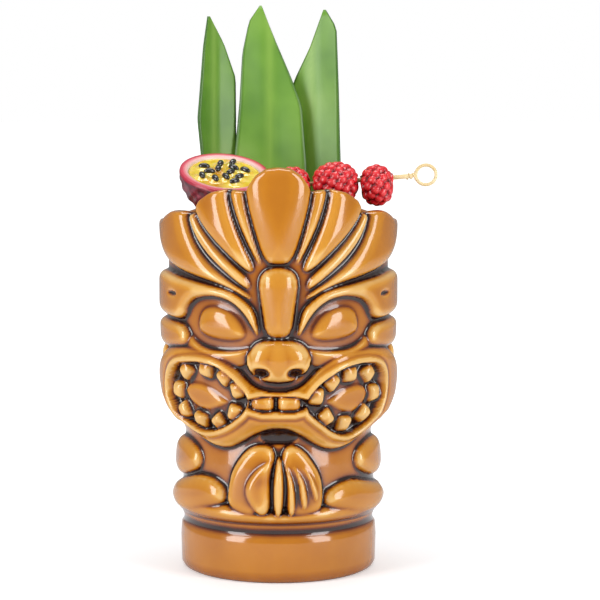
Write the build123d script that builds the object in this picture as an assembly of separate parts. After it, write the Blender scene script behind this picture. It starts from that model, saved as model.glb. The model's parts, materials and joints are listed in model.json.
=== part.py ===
"""Tiki mug dressed as a served drink: a glazed ceramic mug with a carved face, three pineapple
leaves standing in it, and a bamboo cocktail pick with half a passion fruit and three raspberries
lying across its mouth.

Frame: the origin is on the mug's axis at the plane of its foot, +Z is up, the face looks along -Y
and +X is to the right of someone who looks at the face. All sizes are in millimetres.
"""

from build123d import *
import math
import os

# ---- Driving dimensions of the mug -------------------------------------------------------------
mug_height = 165.0        # foot to the top of the middle feather
base_radius = 39.5        # straight band at the bottom
base_height = 21.0        # top edge of that band
base_edge = 2.5           # rounding of the band's lower edge
foot_radius = 31.0        # inside of the foot ring
foot_recess = 1.5         # depth of the hollow inside the foot ring
belly_radius = 41.8       # body between the base and the chin
neck_radius = 39.0        # under the cheeks
head_radius = 44.0        # head, behind its raised carving
wall = 4.2                # fired wall of the mug
floor_thickness = 5.0     # over the foot recess
carving = 4.0             # how far the carving stands out from the head
side_rim = 146.0          # top of the side feathers
back_rim = 147.0          # rim at the middle of the back

# ---- Driving dimensions of the leaves ----------------------------------------------------------
leaf_thickness = 1.4
leaf_lean = 7.5           # degrees, towards the back wall
leaf_length = 220.0       # the middle leaf, from its cut base to its tip
leaf_width = 30.0
leaf_place = -3.6         # the middle leaf's fold, to the right of the mug's axis
leaf_fold = 3.2           # depth of the channel along the middle leaf
side_leaf_fold = 2.4
left_leaf_length = 214.7
left_leaf_width = 21.6
left_leaf_angle = -42.0   # degrees round the wall from the back, as seen from the front
right_leaf_length = 217.6
right_leaf_width = 27.0
right_leaf_angle = 20.0

# ---- Driving dimensions of the pick and the fruit ----------------------------------------------
pick_diameter = 1.8
pick_rise = 4.5           # degrees, up to the right
pick_depth_place = -7.0   # the pick lies this far along Y
pick_height = 154.4       # the pick's height over the mug's axis
pick_reach = 53.5         # from over the axis to the start of the knot
pick_inside = 33.0        # from over the axis to the sharp end, inside the passion fruit
pick_point = 6.0          # length of the sharp end
knot_length = 10.6
knot_strand = 1.9         # thickness of the bamboo in the knot
passion_diameter = 36.4
passion_rind = 3.6        # skin and white pith
passion_height = 160.6    # middle of the cut face
passion_angle = 61.5      # degrees round the wall from the front, to the left
passion_rest = 150.9      # height of the rim that the rind lies against
passion_tilt = 20.0       # degrees that the cut face leans to the front
passion_roll = 5.0        # degrees that it leans to the right
pulp_sink = 0.5           # the pulp's surface lies this far under the cut face
seed_length = 4.6
seed_diameter = 2.6
seed_count = 13
berry_lengths = {"inner": 15.2, "middle": 18.8, "outer": 13.6}
berry_diameters = {"inner": 15.6, "middle": 18.0, "outer": 17.2}
berry_drops = {"inner": 0.0, "middle": 0.6, "outer": 2.6}    # centre of each under the pick
berry_bluntness = 1.2     # 1 is a plain ellipse, and more leaves flat ends

clearance = 0.3           # between pieces that touch on the real object
skin_clearance = 0.1      # between the rind, the pulp and the seeds
bore_clearance = 0.15     # round the pick

os.makedirs("parts", exist_ok=True)
FAR = 70.0                # outside the mug on every side


def save(shape, name):
    """Write one named piece to its own file."""
    shape.label = name
    export_step(shape, f"parts/{name}.step")


def mirrored(points):
    """The same outline on the other side of the face."""
    return [(-x, z) for x, z in points]


def smooth_face(points):
    """A face in the XZ plane inside a closed smooth curve through the points."""
    return Plane.XZ * make_face(Spline(*points, periodic=True))


def straight_face(points):
    """A face in the XZ plane inside straight edges."""
    return Plane.XZ * make_face(Polyline(*points, close=True))


def spheroid(half_length, radius, bluntness=1.0):
    """An ellipse spun about X. A bluntness above 1 cuts its two ends off flat."""
    with BuildSketch() as half:
        Ellipse(half_length * bluntness, radius)
        Rectangle(2 * half_length, radius, align=(Align.CENTER, Align.MIN), mode=Mode.INTERSECT)
    return revolve(half.sketch, Axis.X)


# ---- Mug ---------------------------------------------------------------------------------------
cavity_floor = foot_recess + floor_thickness
blank_height = mug_height + 10     # trimmed to the rim afterwards
belly_height = (base_height + 54.0) / 2
neck_height = 54.0
cheek_height = 66.0
head_shoulder = 78.0


def mug_blank():
    """Foot, base band, belly and head as one turned solid, before carving and hollowing."""
    profile = [
        (0, foot_recess), (foot_radius - 1, foot_recess), (foot_radius, 0),
        (base_radius - base_edge, 0), (base_radius, base_edge), (base_radius, base_height - 1),
        (base_radius - 1, base_height), (base_radius - 1.4, base_height + 1.5),
    ]
    outer = Spline(
        profile[-1], (belly_radius, belly_height - 4), (neck_radius, neck_height),
        (head_radius - 1, cheek_height), (head_radius, head_shoulder),
        tangents=[(1, 1.4), (0, 1)],
    )
    lines = [
        Polyline(*profile), outer, Line(outer @ 1, (head_radius, blank_height)),
        Polyline((head_radius, blank_height), (0, blank_height), (0, foot_recess)),
    ]
    return revolve(Plane.XZ * make_face(Curve() + lines), Axis.Z)


def cavity():
    """The hollow inside the mug, which follows the outside at the wall's thickness."""
    corner = 5.0
    low = base_radius - 1.4 - wall
    bottom = Line((0, cavity_floor), (low - corner, cavity_floor))
    bend = RadiusArc(bottom @ 1, (low, cavity_floor + corner), -corner)
    side = Spline(
        bend @ 1, (low + 0.4, belly_height - 4), (neck_radius - wall, neck_height),
        (head_radius - wall - 1, cheek_height + 2), (head_radius - wall, head_shoulder + 4),
        tangents=[(0, 1), (0, 1)],
    )
    top = Polyline(side @ 1, (head_radius - wall, FAR + mug_height), (0, FAR + mug_height), bottom @ 0)
    return revolve(Plane.XZ * make_face(Curve() + [bottom, bend, side, top]), Axis.Z)


# Outlines of the carving as seen from the front: (x, z), right-hand side.
feather_fork = 127.0      # where the middle feather meets the bridge of the nose
# The feathers run past the rim, which then cuts their tips to shape.
middle_feather = [
    (7.4, feather_fork + 1), (11.2, 142.6), (13.4, 154.0), (13.4, mug_height + 5),
]
wide_feather = [
    (10.0, 126.0), (15.8, 139.0), (20.4, 154.0), (22.5, 160.0), (33.0, 158.0), (34.8, 148.0),
    (33.0, 141.0), (26.0, 131.0), (14.0, 123.4),
]
side_feather = [
    (12.0, 119.2), (24.0, 129.0), (33.5, 139.0), (37.0, side_rim + 3), (42.0, side_rim + 4),
    (49.0, side_rim), (50.0, 133.0), (48.0, 123.5), (36.0, 118.6), (20.0, 115.2),
]
temple_lobe = [
    (33.0, 109.0), (32.0, 114.0), (38.0, 118.0), (47.0, 121.0), (51.0, 113.0), (50.0, 105.5),
    (41.0, 103.0),
]
ear_lobe = [(37.0, 100.5), (43.0, 102.0), (50.0, 103.0), (51.0, 97.5), (49.0, 92.4), (42.0, 93.6)]
brow_ridge = [
    (5.6, 99.5), (10.0, 107.0), (18.0, 113.5), (30.0, 115.6), (40.0, 118.5), (41.0, 116.8),
    (31.0, 113.4), (20.0, 110.6), (13.5, 104.5), (9.5, 98.0),
]
eye = [
    (11.6, 98.6), (14.4, 104.6), (19.6, 109.6), (26.0, 111.6), (31.4, 109.6), (33.6, 104.0),
    (33.0, 99.0), (28.0, 96.0), (19.0, 95.0),
]
bridge_top = 9.6
bridge_bottom = 5.6
bridge_foot = 97.5
mouth_centre = (25.5, 72.8)
mouth_half_width = 14.5
mouth_half_height = 14.4
lip_width = 5.6
mouth_depth = 1.6         # from the head's surface to the back of the mouth
tooth_width = 4.6
tooth_height = 4.8
tooth_relief = 1.0        # over the head's surface
front_tooth = (10.4, 6.0)


def rim_cut():
    """Everything above the rim: feather tips at the front, a gentler edge round the back."""
    front_right = [
        (14.2, 155.4), (20.6, 155.6), (26.5, 155.4), (31.6, 152.4), (34.8, 147.0), (36.8, 145.2),
        (39.0, side_rim), (42.5, 145.0), (46.0, 141.0), (FAR, 141.0),
    ]
    top = ThreePointArc((-14.2, 155.4), (0, mug_height), (14.2, 155.4))
    front_edge = Curve() + [
        top, Polyline(*front_right, (FAR, 2 * mug_height)),
        Line((FAR, 2 * mug_height), (-FAR, 2 * mug_height)),
        Polyline((-FAR, 2 * mug_height), *mirrored(front_right)[::-1]),
    ]
    front = extrude(Plane.XZ * make_face(front_edge), amount=FAR)
    back_right = [(42.5, 145.0), (46.0, 141.0), (FAR, 141.0)]
    back_curve = Spline(
        (-42.5, 145.0), (-37.0, 141.2), (-24.0, 144.0), (0, back_rim), (24.0, 144.0),
        (37.0, 141.2), (42.5, 145.0),
    )
    back_edge = Curve() + [
        back_curve, Polyline(*back_right, (FAR, 2 * mug_height)),
        Line((FAR, 2 * mug_height), (-FAR, 2 * mug_height)),
        Polyline((-FAR, 2 * mug_height), *mirrored(back_right)[::-1]),
    ]
    back = extrude(Plane.XZ * make_face(back_edge), amount=-FAR)
    return front + back


def raised(face, height, behind=0.0):
    """A carved panel: the outline pushed through the front of the head to a given height."""
    block = extrude(Pos(0, behind, 0) * face, amount=FAR)
    shell = Cylinder(head_radius + height, 2 * mug_height) - Cylinder(
        head_radius - wall / 2, 2 * mug_height
    )
    return block & shell


def both_sides(outline, height, behind=0.0):
    """The same raised panel on the left and the right."""
    right = raised(smooth_face(outline), height, behind)
    return [right, mirror(right, Plane.YZ)]


def feathers():
    """The headdress: a middle feather, then two feathers and two lobes on each side."""
    panels = [raised(straight_face(middle_feather + mirrored(middle_feather)[::-1]), carving)]
    panels += both_sides(wide_feather, carving)
    panels += both_sides(side_feather, carving, behind=16)
    panels += both_sides(temple_lobe, carving, behind=12)
    panels += both_sides(ear_lobe, carving, behind=12)
    return panels


def brow_and_eyes():
    """Brow ridges, bulging eyes and the bridge of the nose between them."""
    bridge = [
        (-bridge_top, feather_fork - 2.5), (0, feather_fork), (bridge_top, feather_fork - 2.5),
        (bridge_bottom, bridge_foot), (-bridge_bottom, bridge_foot),
    ]
    panels = [raised(straight_face(bridge), carving)]
    panels += both_sides(brow_ridge, carving)
    panels += both_sides(eye, carving - 1)
    return panels


def nose():
    """A broad nose with a ball tip and two wings."""
    tip = Pos(0, -head_radius + 1, 88.5) * spheroid(11, 8.5)
    wings = [Pos(side * 8.2, -head_radius + 4, 89) * spheroid(6, 8.4) for side in (-1, 1)]
    return [tip] + wings


def mouth_face(grow):
    """The bow-tie of the mouth as a face: two round corners joined by a bar, grown outwards."""
    x, z = mouth_centre
    parts = [
        Plane.XZ * Pos(side * x, z) * Ellipse(mouth_half_width + grow, mouth_half_height + grow)
        for side in (-1, 1)
    ]
    return parts[0] + parts[1] + Plane.XZ * Pos(0, z - 0.5) * Rectangle(
        2 * x, front_tooth[1] + 2 + 2 * grow
    )


def lips():
    """The raised lips, before the mouth is cut into them."""
    return [raised(mouth_face(lip_width), carving)]


def mouth_hollow():
    """What is cut away to open the mouth down to its back surface."""
    block = extrude(mouth_face(0), amount=FAR)
    return block - Cylinder(head_radius - mouth_depth, 2 * mug_height)


def teeth():
    """Teeth round the inside of both mouth corners, and two broad ones in the middle."""
    x, z = mouth_centre
    blocks = []
    inset = tooth_height / 2 - 0.6
    for side in (-1, 1):
        for turn in range(-120, 121, 30):
            angle = math.radians(turn)
            place = (
                side * (x + (mouth_half_width - inset) * math.cos(angle)),
                z + (mouth_half_height - inset) * math.sin(angle),
            )
            tooth = Plane.XZ * Pos(*place) * Rot(0, 0, side * turn + (90 if side > 0 else -90))
            blocks.append(tooth * Rectangle(tooth_width, tooth_height))
    for side in (-1, 1):
        blocks.append(
            Plane.XZ * Pos(side * (front_tooth[0] / 2 + 0.3), z - 0.5) * Rectangle(*front_tooth)
        )
    return [raised(block, tooth_relief) for block in blocks]


def arms_and_hands():
    """Upper arms at the sides, forearms over the belly and two hands that meet in the middle."""
    lumps = []
    for side in (-1, 1):
        upper = Pos(side * 35, -15, 47) * Rot(0, 90, 0) * spheroid(9, 8)
        forearm = Pos(side * 25, -27.5, 37) * Rot(0, 0, side * 42) * spheroid(14, 9)
        hand = Pos(side * 8.5, -35.5, 41.5) * Rot(0, side * 62, 0) * spheroid(13, 8.5)
        lumps += [upper, forearm, hand]
    return lumps


def mug_body():
    """The one fired piece: blank, carving, rim, mouth, teeth and hollow."""
    solid = mug_blank()
    for panel in feathers() + brow_and_eyes() + lips() + nose() + arms_and_hands():
        solid = solid + panel
    solid = solid - mouth_hollow()
    for tooth in teeth():
        solid = solid + tooth
    return solid - rim_cut() - cavity()


# ---- Leaves ------------------------------------------------------------------------------------
cavity_radius = head_radius - wall
leaf_foot = cavity_floor + clearance

# Each leaf's edges as seen from the front: across in half widths, along in lengths.
LEAF_EDGES = {
    "centre": [
        (-0.5, 0), (-1, 0.48), (-1, 0.7), (-0.83, 0.82), (-0.76, 0.91), (-0.6, 0.97),
        (-0.26, 1), (0.2, 0.93), (0.58, 0.865), (0.92, 0.81), (1, 0.7), (1, 0.48), (0.5, 0),
    ],
    "left": [
        (-0.3, 0), (-0.9, 0.45), (-0.72, 0.72), (-0.98, 0.8), (-0.67, 0.94), (-0.46, 1),
        (0.98, 0.885), (0.95, 0.7), (1, 0.45), (0.4, 0),
    ],
    "right": [
        (-0.5, 0), (-1, 0.48), (-1, 0.74), (-0.5, 0.866), (0.02, 0.929), (0.47, 1),
        (0.9, 0.978), (0.92, 0.86), (1, 0.7), (1, 0.48), (0.4, 0),
    ],
}


def section_line(fold_point, angle, width, fold):
    """The back of a leaf's channel section at the rim: one edge, the fold, the other edge."""
    turn = math.radians(angle)
    across = Vector(math.cos(turn), -math.sin(turn))
    back = Vector(math.sin(turn), math.cos(turn))
    middle = Vector(*fold_point)
    return [middle - across * (width / 2) - back * fold, middle,
            middle + across * (width / 2) - back * fold]


def seated_section(angle, width, fold):
    """A side leaf's section, pushed back until its fold or its edges reach the wall."""
    free = cavity_radius - clearance
    reach = min(free, fold + math.sqrt(free ** 2 - (width / 2) ** 2))
    turn = math.radians(angle)
    return section_line((reach * math.sin(turn), reach * math.cos(turn)), angle, width, fold)


def depth_at(section, x):
    """How far back a section's line lies at x, or None outside it."""
    for one, other in zip(section, section[1:]):
        if one.X <= x <= other.X:
            return one.Y + (other.Y - one.Y) * (x - one.X) / (other.X - one.X)
    return None


left_section = seated_section(left_leaf_angle, left_leaf_width, side_leaf_fold)
right_section = seated_section(right_leaf_angle, right_leaf_width, side_leaf_fold)


def middle_section():
    """The middle leaf's section, which lies against the fronts of the two side leaves."""
    flat = section_line((leaf_place, 0), 0, leaf_width, leaf_fold)
    slack = []
    for other in (left_section, right_section):
        for point in flat:
            if depth_at(other, point.X) is not None:
                slack.append(depth_at(other, point.X) - point.Y)
        for point in other:
            if depth_at(flat, point.X) is not None:
                slack.append(point.Y - depth_at(flat, point.X))
    steepness = 1 / math.cos(math.radians(left_leaf_angle))
    depth = min(slack) - leaf_thickness * steepness - clearance
    return section_line((leaf_place, depth), 0, leaf_width, leaf_fold)


def leaf(section, edges, length):
    """A folded leaf: its channel section along the leaning axis, trimmed to its outline."""
    fold = section[1]
    lean = Location((0, fold.Y, back_rim), (-leaf_lean, 0, 0))
    angle = math.radians(leaf_lean)
    lowest = max(point.Y for point in section) - fold.Y
    below = (back_rim - leaf_foot) / math.cos(angle) - lowest * math.tan(angle)
    thick = [point - Vector(0, leaf_thickness) for point in section]
    outline = [(point.X, point.Y - fold.Y) for point in section + thick[::-1]]
    channel = extrude(
        Pos(0, 0, -below) * make_face(Polyline(*outline, close=True)), amount=length
    )
    middle = (section[0].X + section[-1].X) / 2
    half = (section[-1].X - section[0].X) / 2
    shape = [(middle + across * half, along * length - below) for across, along in edges]
    return lean * (channel & extrude(straight_face(shape), amount=FAR, both=True))


# ---- Pick --------------------------------------------------------------------------------------
pick_axis = Location((0, pick_depth_place, pick_height), (0, -pick_rise, 0))


def along_pick(distance, drop=0.0):
    """A place on the pick: the distance to the right of the mug's axis, and below the pick."""
    return pick_axis * Pos(distance, 0, -drop)


def round_bar(start, end, radius):
    """A round bar along the pick, between two distances."""
    return along_pick((start + end) / 2) * Rot(0, 90, 0) * Cylinder(radius, end - start)


def cocktail_pick():
    """A bamboo pick: sharp end, straight rod, and the strand tied into a loop at the other end."""
    shoulder = pick_point - pick_inside
    rod = round_bar(shoulder, pick_reach + knot_strand / 2, pick_diameter / 2)
    sharp = along_pick(shoulder - pick_point / 2) * Rot(0, -90, 0) * Cone(
        pick_diameter / 2, pick_diameter / 8, pick_point
    )
    loop_radius = (knot_length - knot_strand) / 2
    loop = along_pick(pick_reach + knot_length / 2) * Rot(90, 0, 0) * Torus(
        loop_radius, knot_strand / 2
    )
    wrap = round_bar(pick_reach - knot_strand, pick_reach + knot_strand / 3, knot_strand * 0.7)
    return rod + sharp + loop + wrap


# ---- Passion fruit -----------------------------------------------------------------------------
passion_radius = passion_diameter / 2
passion_reach = cavity_radius - clearance - math.sqrt(
    passion_radius ** 2 - (passion_height - passion_rest) ** 2
)
passion_face = Location(
    (-passion_reach * math.sin(math.radians(passion_angle)),
     -passion_reach * math.cos(math.radians(passion_angle)), passion_height),
    (passion_tilt, passion_roll, 0),
)
pulp_radius = passion_radius - passion_rind


def half_ball(radius):
    """The half of a ball that lies under the cut face."""
    return passion_face * Sphere(
        radius, arc_size1=-90, arc_size2=0, align=(Align.CENTER, Align.CENTER, Align.MAX)
    )


def pick_bore():
    """The hole that the pick makes in whatever is threaded on it."""
    tip = -pick_inside - clearance
    return round_bar(tip, pick_reach, pick_diameter / 2 + bore_clearance)


def seed_bodies(grow=0.0):
    """Seeds spread in a spiral over the pulp, each half in it and turned its own way."""
    golden_angle = 137.5
    spread = pulp_radius - seed_length * 0.9
    bodies = []
    for number in range(seed_count):
        distance = spread * math.sqrt((number + 0.6) / seed_count)
        place = Rot(0, 0, number * golden_angle) * Pos(distance, 0, seed_diameter / 4 - pulp_sink)
        turned = place * Rot(0, 0, 50 + number * 77)
        bodies.append(
            passion_face * turned * spheroid(seed_length / 2 + grow, seed_diameter / 2 + grow)
        )
    return bodies


def passion_fruit_rind():
    """The skin with its white pith: a half shell that the pick runs through."""
    return half_ball(passion_radius) - half_ball(pulp_radius) - pick_bore()


def passion_fruit_pulp():
    """The pulp that fills the shell to just under its edge."""
    ball = half_ball(pulp_radius - skin_clearance)
    top = passion_face * Pos(0, 0, -pulp_sink) * Box(
        FAR, FAR, FAR, align=(Align.CENTER, Align.CENTER, Align.MIN)
    )
    solid = ball - top - pick_bore()
    for seed in seed_bodies(skin_clearance):
        solid = solid - seed
    return solid


# ---- Raspberries -------------------------------------------------------------------------------
def first_berry_start():
    """How far along the pick the passion fruit's skin reaches to the right."""
    centre = pick_axis.inverse() * passion_face
    return centre.position.X + passion_radius


def raspberries():
    """Three raspberries side by side on the pick, each with its hole."""
    start = first_berry_start()
    berries = {}
    for name, length in berry_lengths.items():
        middle = start + clearance + length / 2
        body = along_pick(middle, berry_drops[name]) * spheroid(
            length / 2, berry_diameters[name] / 2, berry_bluntness
        )
        berries[name] = body - pick_bore()
        start = middle + length / 2
    return berries


save(mug_body(), "mug_body")
save(leaf(left_section, LEAF_EDGES["left"], left_leaf_length), "pineapple_leaf_left")
save(leaf(middle_section(), LEAF_EDGES["centre"], leaf_length), "pineapple_leaf_centre")
save(leaf(right_section, LEAF_EDGES["right"], right_leaf_length), "pineapple_leaf_right")
save(cocktail_pick(), "cocktail_pick")
save(passion_fruit_rind(), "passion_fruit_rind")
save(passion_fruit_pulp(), "passion_fruit_pulp")
save(Compound(children=seed_bodies()), "passion_fruit_seeds")
for berry_name, berry in raspberries().items():
    save(berry, f"raspberry_{berry_name}")
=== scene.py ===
"""Tiki mug with its garnish: mug, pineapple leaves, fruit on a bamboo pick, and the stage."""

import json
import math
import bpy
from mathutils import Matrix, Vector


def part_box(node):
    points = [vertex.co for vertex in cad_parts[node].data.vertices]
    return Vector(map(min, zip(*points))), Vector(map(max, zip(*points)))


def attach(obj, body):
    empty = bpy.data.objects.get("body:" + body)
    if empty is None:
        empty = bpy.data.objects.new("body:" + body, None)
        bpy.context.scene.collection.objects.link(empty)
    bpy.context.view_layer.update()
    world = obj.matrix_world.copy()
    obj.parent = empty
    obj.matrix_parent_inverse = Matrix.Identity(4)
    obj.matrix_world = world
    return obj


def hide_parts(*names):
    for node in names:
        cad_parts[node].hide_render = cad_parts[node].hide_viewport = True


bl_info = {
    "name": "Tiki Mug",
    "version": (1, 0, 0),
    "blender": (4, 5, 0),
    "location": "View3D > Sidebar > Tiki Mug",
    "description": "Builds a glazed tiki mug with leaves and a fruit pick, and the stage round it",
    "category": "Object",
}

import bmesh
import bpy
import numpy as np
from bpy.props import FloatProperty, FloatVectorProperty, IntProperty, PointerProperty
from mathutils import Matrix, Vector

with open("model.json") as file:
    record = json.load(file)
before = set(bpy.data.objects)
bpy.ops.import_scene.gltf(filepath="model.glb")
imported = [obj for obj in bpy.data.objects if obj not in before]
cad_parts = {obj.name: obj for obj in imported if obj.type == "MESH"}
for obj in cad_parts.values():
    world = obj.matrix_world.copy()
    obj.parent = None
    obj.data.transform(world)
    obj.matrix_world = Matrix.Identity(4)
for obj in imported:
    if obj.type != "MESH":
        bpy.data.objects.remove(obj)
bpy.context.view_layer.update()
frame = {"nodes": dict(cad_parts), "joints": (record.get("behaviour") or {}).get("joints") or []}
JOINTS = {joint["name"]: joint for joint in frame["joints"]}
MUG_LOW, MUG_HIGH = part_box("mug_body")

MM = 0.001
PICK_ORIGIN = Vector(JOINTS["berry_inner_spin"]["pos_m"])
PICK_AXIS = Vector(JOINTS["pick_pull"]["axis"]).normalized()
LEAF_AXIS = Vector(JOINTS["leaf_centre_lift"]["axis"]).normalized()
GOLDEN_ANGLE = math.radians(137.5)

# ---- Shared mesh and material helpers ----


def finish_piece(bm, name, body, material, replaced):
    """Turns a bmesh into a smooth shaded piece that rides on a body and stands for its node."""
    mesh = bpy.data.meshes.new(name)
    bm.to_mesh(mesh)
    bm.free()
    mesh.materials.append(material)
    mesh.shade_smooth()
    piece = bpy.data.objects.new(name, mesh)
    bpy.context.scene.collection.objects.link(piece)
    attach(piece, body)
    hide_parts(replaced)
    return piece


def spun(profile, steps, closed=False):
    """Spins a profile of (distance from the axis, height) points in mm about the Z axis."""
    bm = bmesh.new()
    ring = [bm.verts.new((distance * MM, 0, height * MM)) for distance, height in profile]
    edges = [bm.edges.new(pair) for pair in zip(ring, ring[1:])]
    if closed:
        edges.append(bm.edges.new((ring[-1], ring[0])))
    bmesh.ops.spin(
        bm, geom=ring + edges, cent=(0, 0, 0), axis=(0, 0, 1), angle=math.tau, steps=steps,
        use_merge=True,
    )
    bmesh.ops.remove_doubles(bm, verts=bm.verts, dist=0.00001)
    bmesh.ops.recalc_face_normals(bm, faces=bm.faces)
    return bm


def positions(bm):
    """The places of a bmesh's vertices, in mm."""
    return np.array([vert.co for vert in bm.verts]) / MM


def move_to(bm, places):
    """Moves a bmesh's vertices to places in mm."""
    for vert, place in zip(bm.verts, places * MM):
        vert.co = place


def rise(value, start, end):
    """0 below start, 1 above end, and a smooth step between."""
    part = np.clip((value - start) / (end - start), 0, 1)
    return part * part * (3 - 2 * part)


def new_material(name):
    """A node material: (material, its node tree, its shader)."""
    material = bpy.data.materials.new(name)
    material.use_nodes = True
    tree = material.node_tree
    return material, tree, tree.nodes["Principled BSDF"]


def node(tree, kind, **settings):
    """Adds a node; settings name its own values, or inputs where they start with in_."""
    made = tree.nodes.new(kind)
    for key, value in settings.items():
        if key.startswith("in_"):
            made.inputs[key[3:].replace("_", " ")].default_value = value
        else:
            setattr(made, key, value)
    return made


def set_inputs(shader, **values):
    """Sets a shader's own sockets, named with underscores for spaces."""
    for name, value in values.items():
        shader.inputs[name.replace("_", " ")].default_value = value


def ramp(tree, source, stops):
    """A colour ramp over a source socket: stops are (place, sRGB 0 to 255)."""
    made = tree.nodes.new("ShaderNodeValToRGB")
    elements = made.color_ramp.elements
    while len(elements) < len(stops):
        elements.new(0.5)
    for element, (place, colour) in zip(elements, stops):
        element.position = place
        element.color = (*linear(colour), 1)
    tree.links.new(source, made.inputs["Fac"])
    return made.outputs["Color"]


def linear(colour):
    """sRGB 0 to 255 to linear 0 to 1."""
    return tuple(
        (c / 255 / 12.92) if c / 255 <= 0.04045 else ((c / 255 + 0.055) / 1.055) ** 2.4
        for c in colour
    )


def noise(tree, scale, detail=3, stretch=(1, 1, 1), coordinate="Object"):
    """A noise pattern on the piece's own coordinates."""
    place = tree.nodes.new("ShaderNodeTexCoord")
    mapping = node(tree, "ShaderNodeMapping")
    mapping.inputs["Scale"].default_value = stretch
    pattern = node(tree, "ShaderNodeTexNoise", in_Scale=scale, in_Detail=detail)
    tree.links.new(place.outputs[coordinate], mapping.inputs["Vector"])
    tree.links.new(mapping.outputs["Vector"], pattern.inputs["Vector"])
    return pattern.outputs["Fac"]


def mix(tree, factor, one, other):
    """Mixes two colours by a factor, each a socket or a value."""
    made = node(tree, "ShaderNodeMix", data_type="RGBA")
    for key, value in ((0, factor), (6, one), (7, other)):
        if isinstance(value, bpy.types.NodeSocket):
            tree.links.new(value, made.inputs[key])
        elif key == 0:
            made.inputs[key].default_value = value
        else:
            made.inputs[key].default_value = (*linear(value), 1)
    return made.outputs[2]


def maths(tree, operation, one, other=0.0, third=0.0):
    """A math node over sockets or values."""
    made = node(tree, "ShaderNodeMath", operation=operation)
    for key, value in enumerate((one, other, third)):
        if isinstance(value, bpy.types.NodeSocket):
            tree.links.new(value, made.inputs[key])
        else:
            made.inputs[key].default_value = value
    return made.outputs["Value"]


def attribute(tree, name):
    """A float attribute of the mesh."""
    return node(tree, "ShaderNodeAttribute", attribute_name=name).outputs["Fac"]


def bump(tree, shader, height, depth, strength=1.0):
    """Bumps a shader's surface by a height socket, depth in metres."""
    made = node(tree, "ShaderNodeBump", in_Strength=strength, in_Distance=depth)
    tree.links.new(height, made.inputs["Height"])
    tree.links.new(made.outputs["Normal"], shader.inputs["Normal"])


def write_attribute(bm, name, values):
    """Writes a float attribute on a bmesh's vertices."""
    layer = bm.verts.layers.float.new(name)
    for vert, value in zip(bm.verts, values):
        vert[layer] = float(value)


# ---- The mug's carving ----
# Outlines are (degrees round the mug from the front, to the right; mm above the foot).

RIM_BY_ANGLE = [
    (0, 165), (6, 164.4), (11, 162), (14.5, 158.5), (17, 155.3), (21, 155.7), (28, 156),
    (35, 154.8), (41, 151.8), (45.5, 148), (48, 145.6), (52, 145.6), (57, 146.3), (64, 146.2),
    (72, 144), (80, 141.5), (90, 141.5), (110, 141), (130, 143), (150, 145), (180, 147),
]
CORE_BY_HEIGHT = [
    (0, 36.6), (0.8, 38.2), (2.5, 39.2), (13, 39.5), (18, 39.2), (19.5, 38.2), (21.5, 38.2),
    (23, 38.9), (25, 39.6), (31, 38.8), (46, 38.2), (56, 37.4), (61, 39.4), (66, 42.3),
    (72, 43.2), (85, 43.6), (100, 44), (165, 44),
]
# Lobes on both sides: (outline, height, shoulder).
PAIRED_LOBES = [
    ([(-14, 172), (-16.5, 160), (-16.3, 153.5), (-13, 142.6), (-7, 128.2), (0, 127), (7, 128.2),
      (13, 142.6), (16.3, 153.5), (16.5, 160), (14, 172)], 4.4, 9),
    ([(18.3, 170), (17.6, 153.5), (14.2, 142.6), (8.6, 128), (9.8, 127), (17.8, 138.5),
      (22.6, 148), (25, 155.5), (25.5, 170)], 2.0, 2.5),
    ([(27, 172), (26.6, 156), (24.6, 147.5), (19.6, 137.5), (11.6, 125.6), (15, 123.8),
      (27, 131.3), (37.5, 138.6), (44, 144.5), (47, 150), (47.5, 172)], 3.9, 5.5),
    ([(48.5, 152), (48, 147.5), (45.5, 143.8), (38.5, 137.4), (28, 130), (16, 122.3),
      (14, 118), (17, 117.8), (28, 124), (40, 131.5), (48, 139), (51.5, 146), (52, 152)], 2.4, 2.5),
    ([(54, 153), (53.5, 146), (50, 138), (41, 129.5), (28, 121.8), (16, 116.2), (13, 112.8),
      (27, 118.4), (45, 121.2), (69, 124.4), (82, 128.5), (92, 134), (97, 142), (92, 153),
      (70, 157)], 3.8, 6),
    ([(11.5, 109), (17, 113.2), (24, 116.8), (34, 118.2), (45, 119.5), (60, 120.6), (75, 121.8),
      (88, 121.5), (97, 114), (95, 107), (88, 104), (72, 103.4), (60, 103.2), (53.5, 105),
      (51, 109.5), (45, 113), (34, 114.4), (24, 112.6), (17, 107.8), (12.2, 101.5),
      (9.5, 98.5)], 3.9, 3.6),
    ([(51, 93), (50, 98), (55, 102), (70, 102.6), (88, 103), (96, 99), (95, 92.5), (80, 90.5),
      (64, 91)], 3.6, 3.6),
    ([(90, 81), (100, 81), (103, 90.5), (97, 91), (90, 89)], 3.2, 3),
    ([(84, 60), (96, 57), (99, 71), (92, 79), (86, 76)], 3.2, 3.4),
]
BACK_LOBES = [
    ([(101, 64), (112, 58), (123, 64), (124, 110), (120, 170), (102, 170), (100, 110)], 1.0, 4),
    ([(127, 64), (138, 58), (149, 64), (150, 110), (148, 170), (129, 170), (126, 110)], 1.0, 4),
    ([(153, 64), (167, 56), (180, 54), (186, 60), (186, 172), (155, 172), (152, 110)], 1.0, 4),
]
EYE_SOCKET = [
    (50, 105), (46, 112), (34.5, 114), (24, 112), (16.5, 107), (11.8, 99), (16, 94),
    (29.6, 93), (41, 94), (50, 98),
]
EYE = [
    (45.7, 104.8), (42.1, 109.6), (33.6, 111.4), (24.1, 109.3), (18, 105), (15, 99.3), (19, 96.4),
    (29.6, 96), (39.8, 97.2), (45.7, 99.8),
]
BRIDGE = [
    (-10.5, 123.5), (0, 127.2), (10.5, 123.5), (8.4, 110), (6, 98.2), (-6, 98.2), (-8.4, 110),
]
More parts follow.
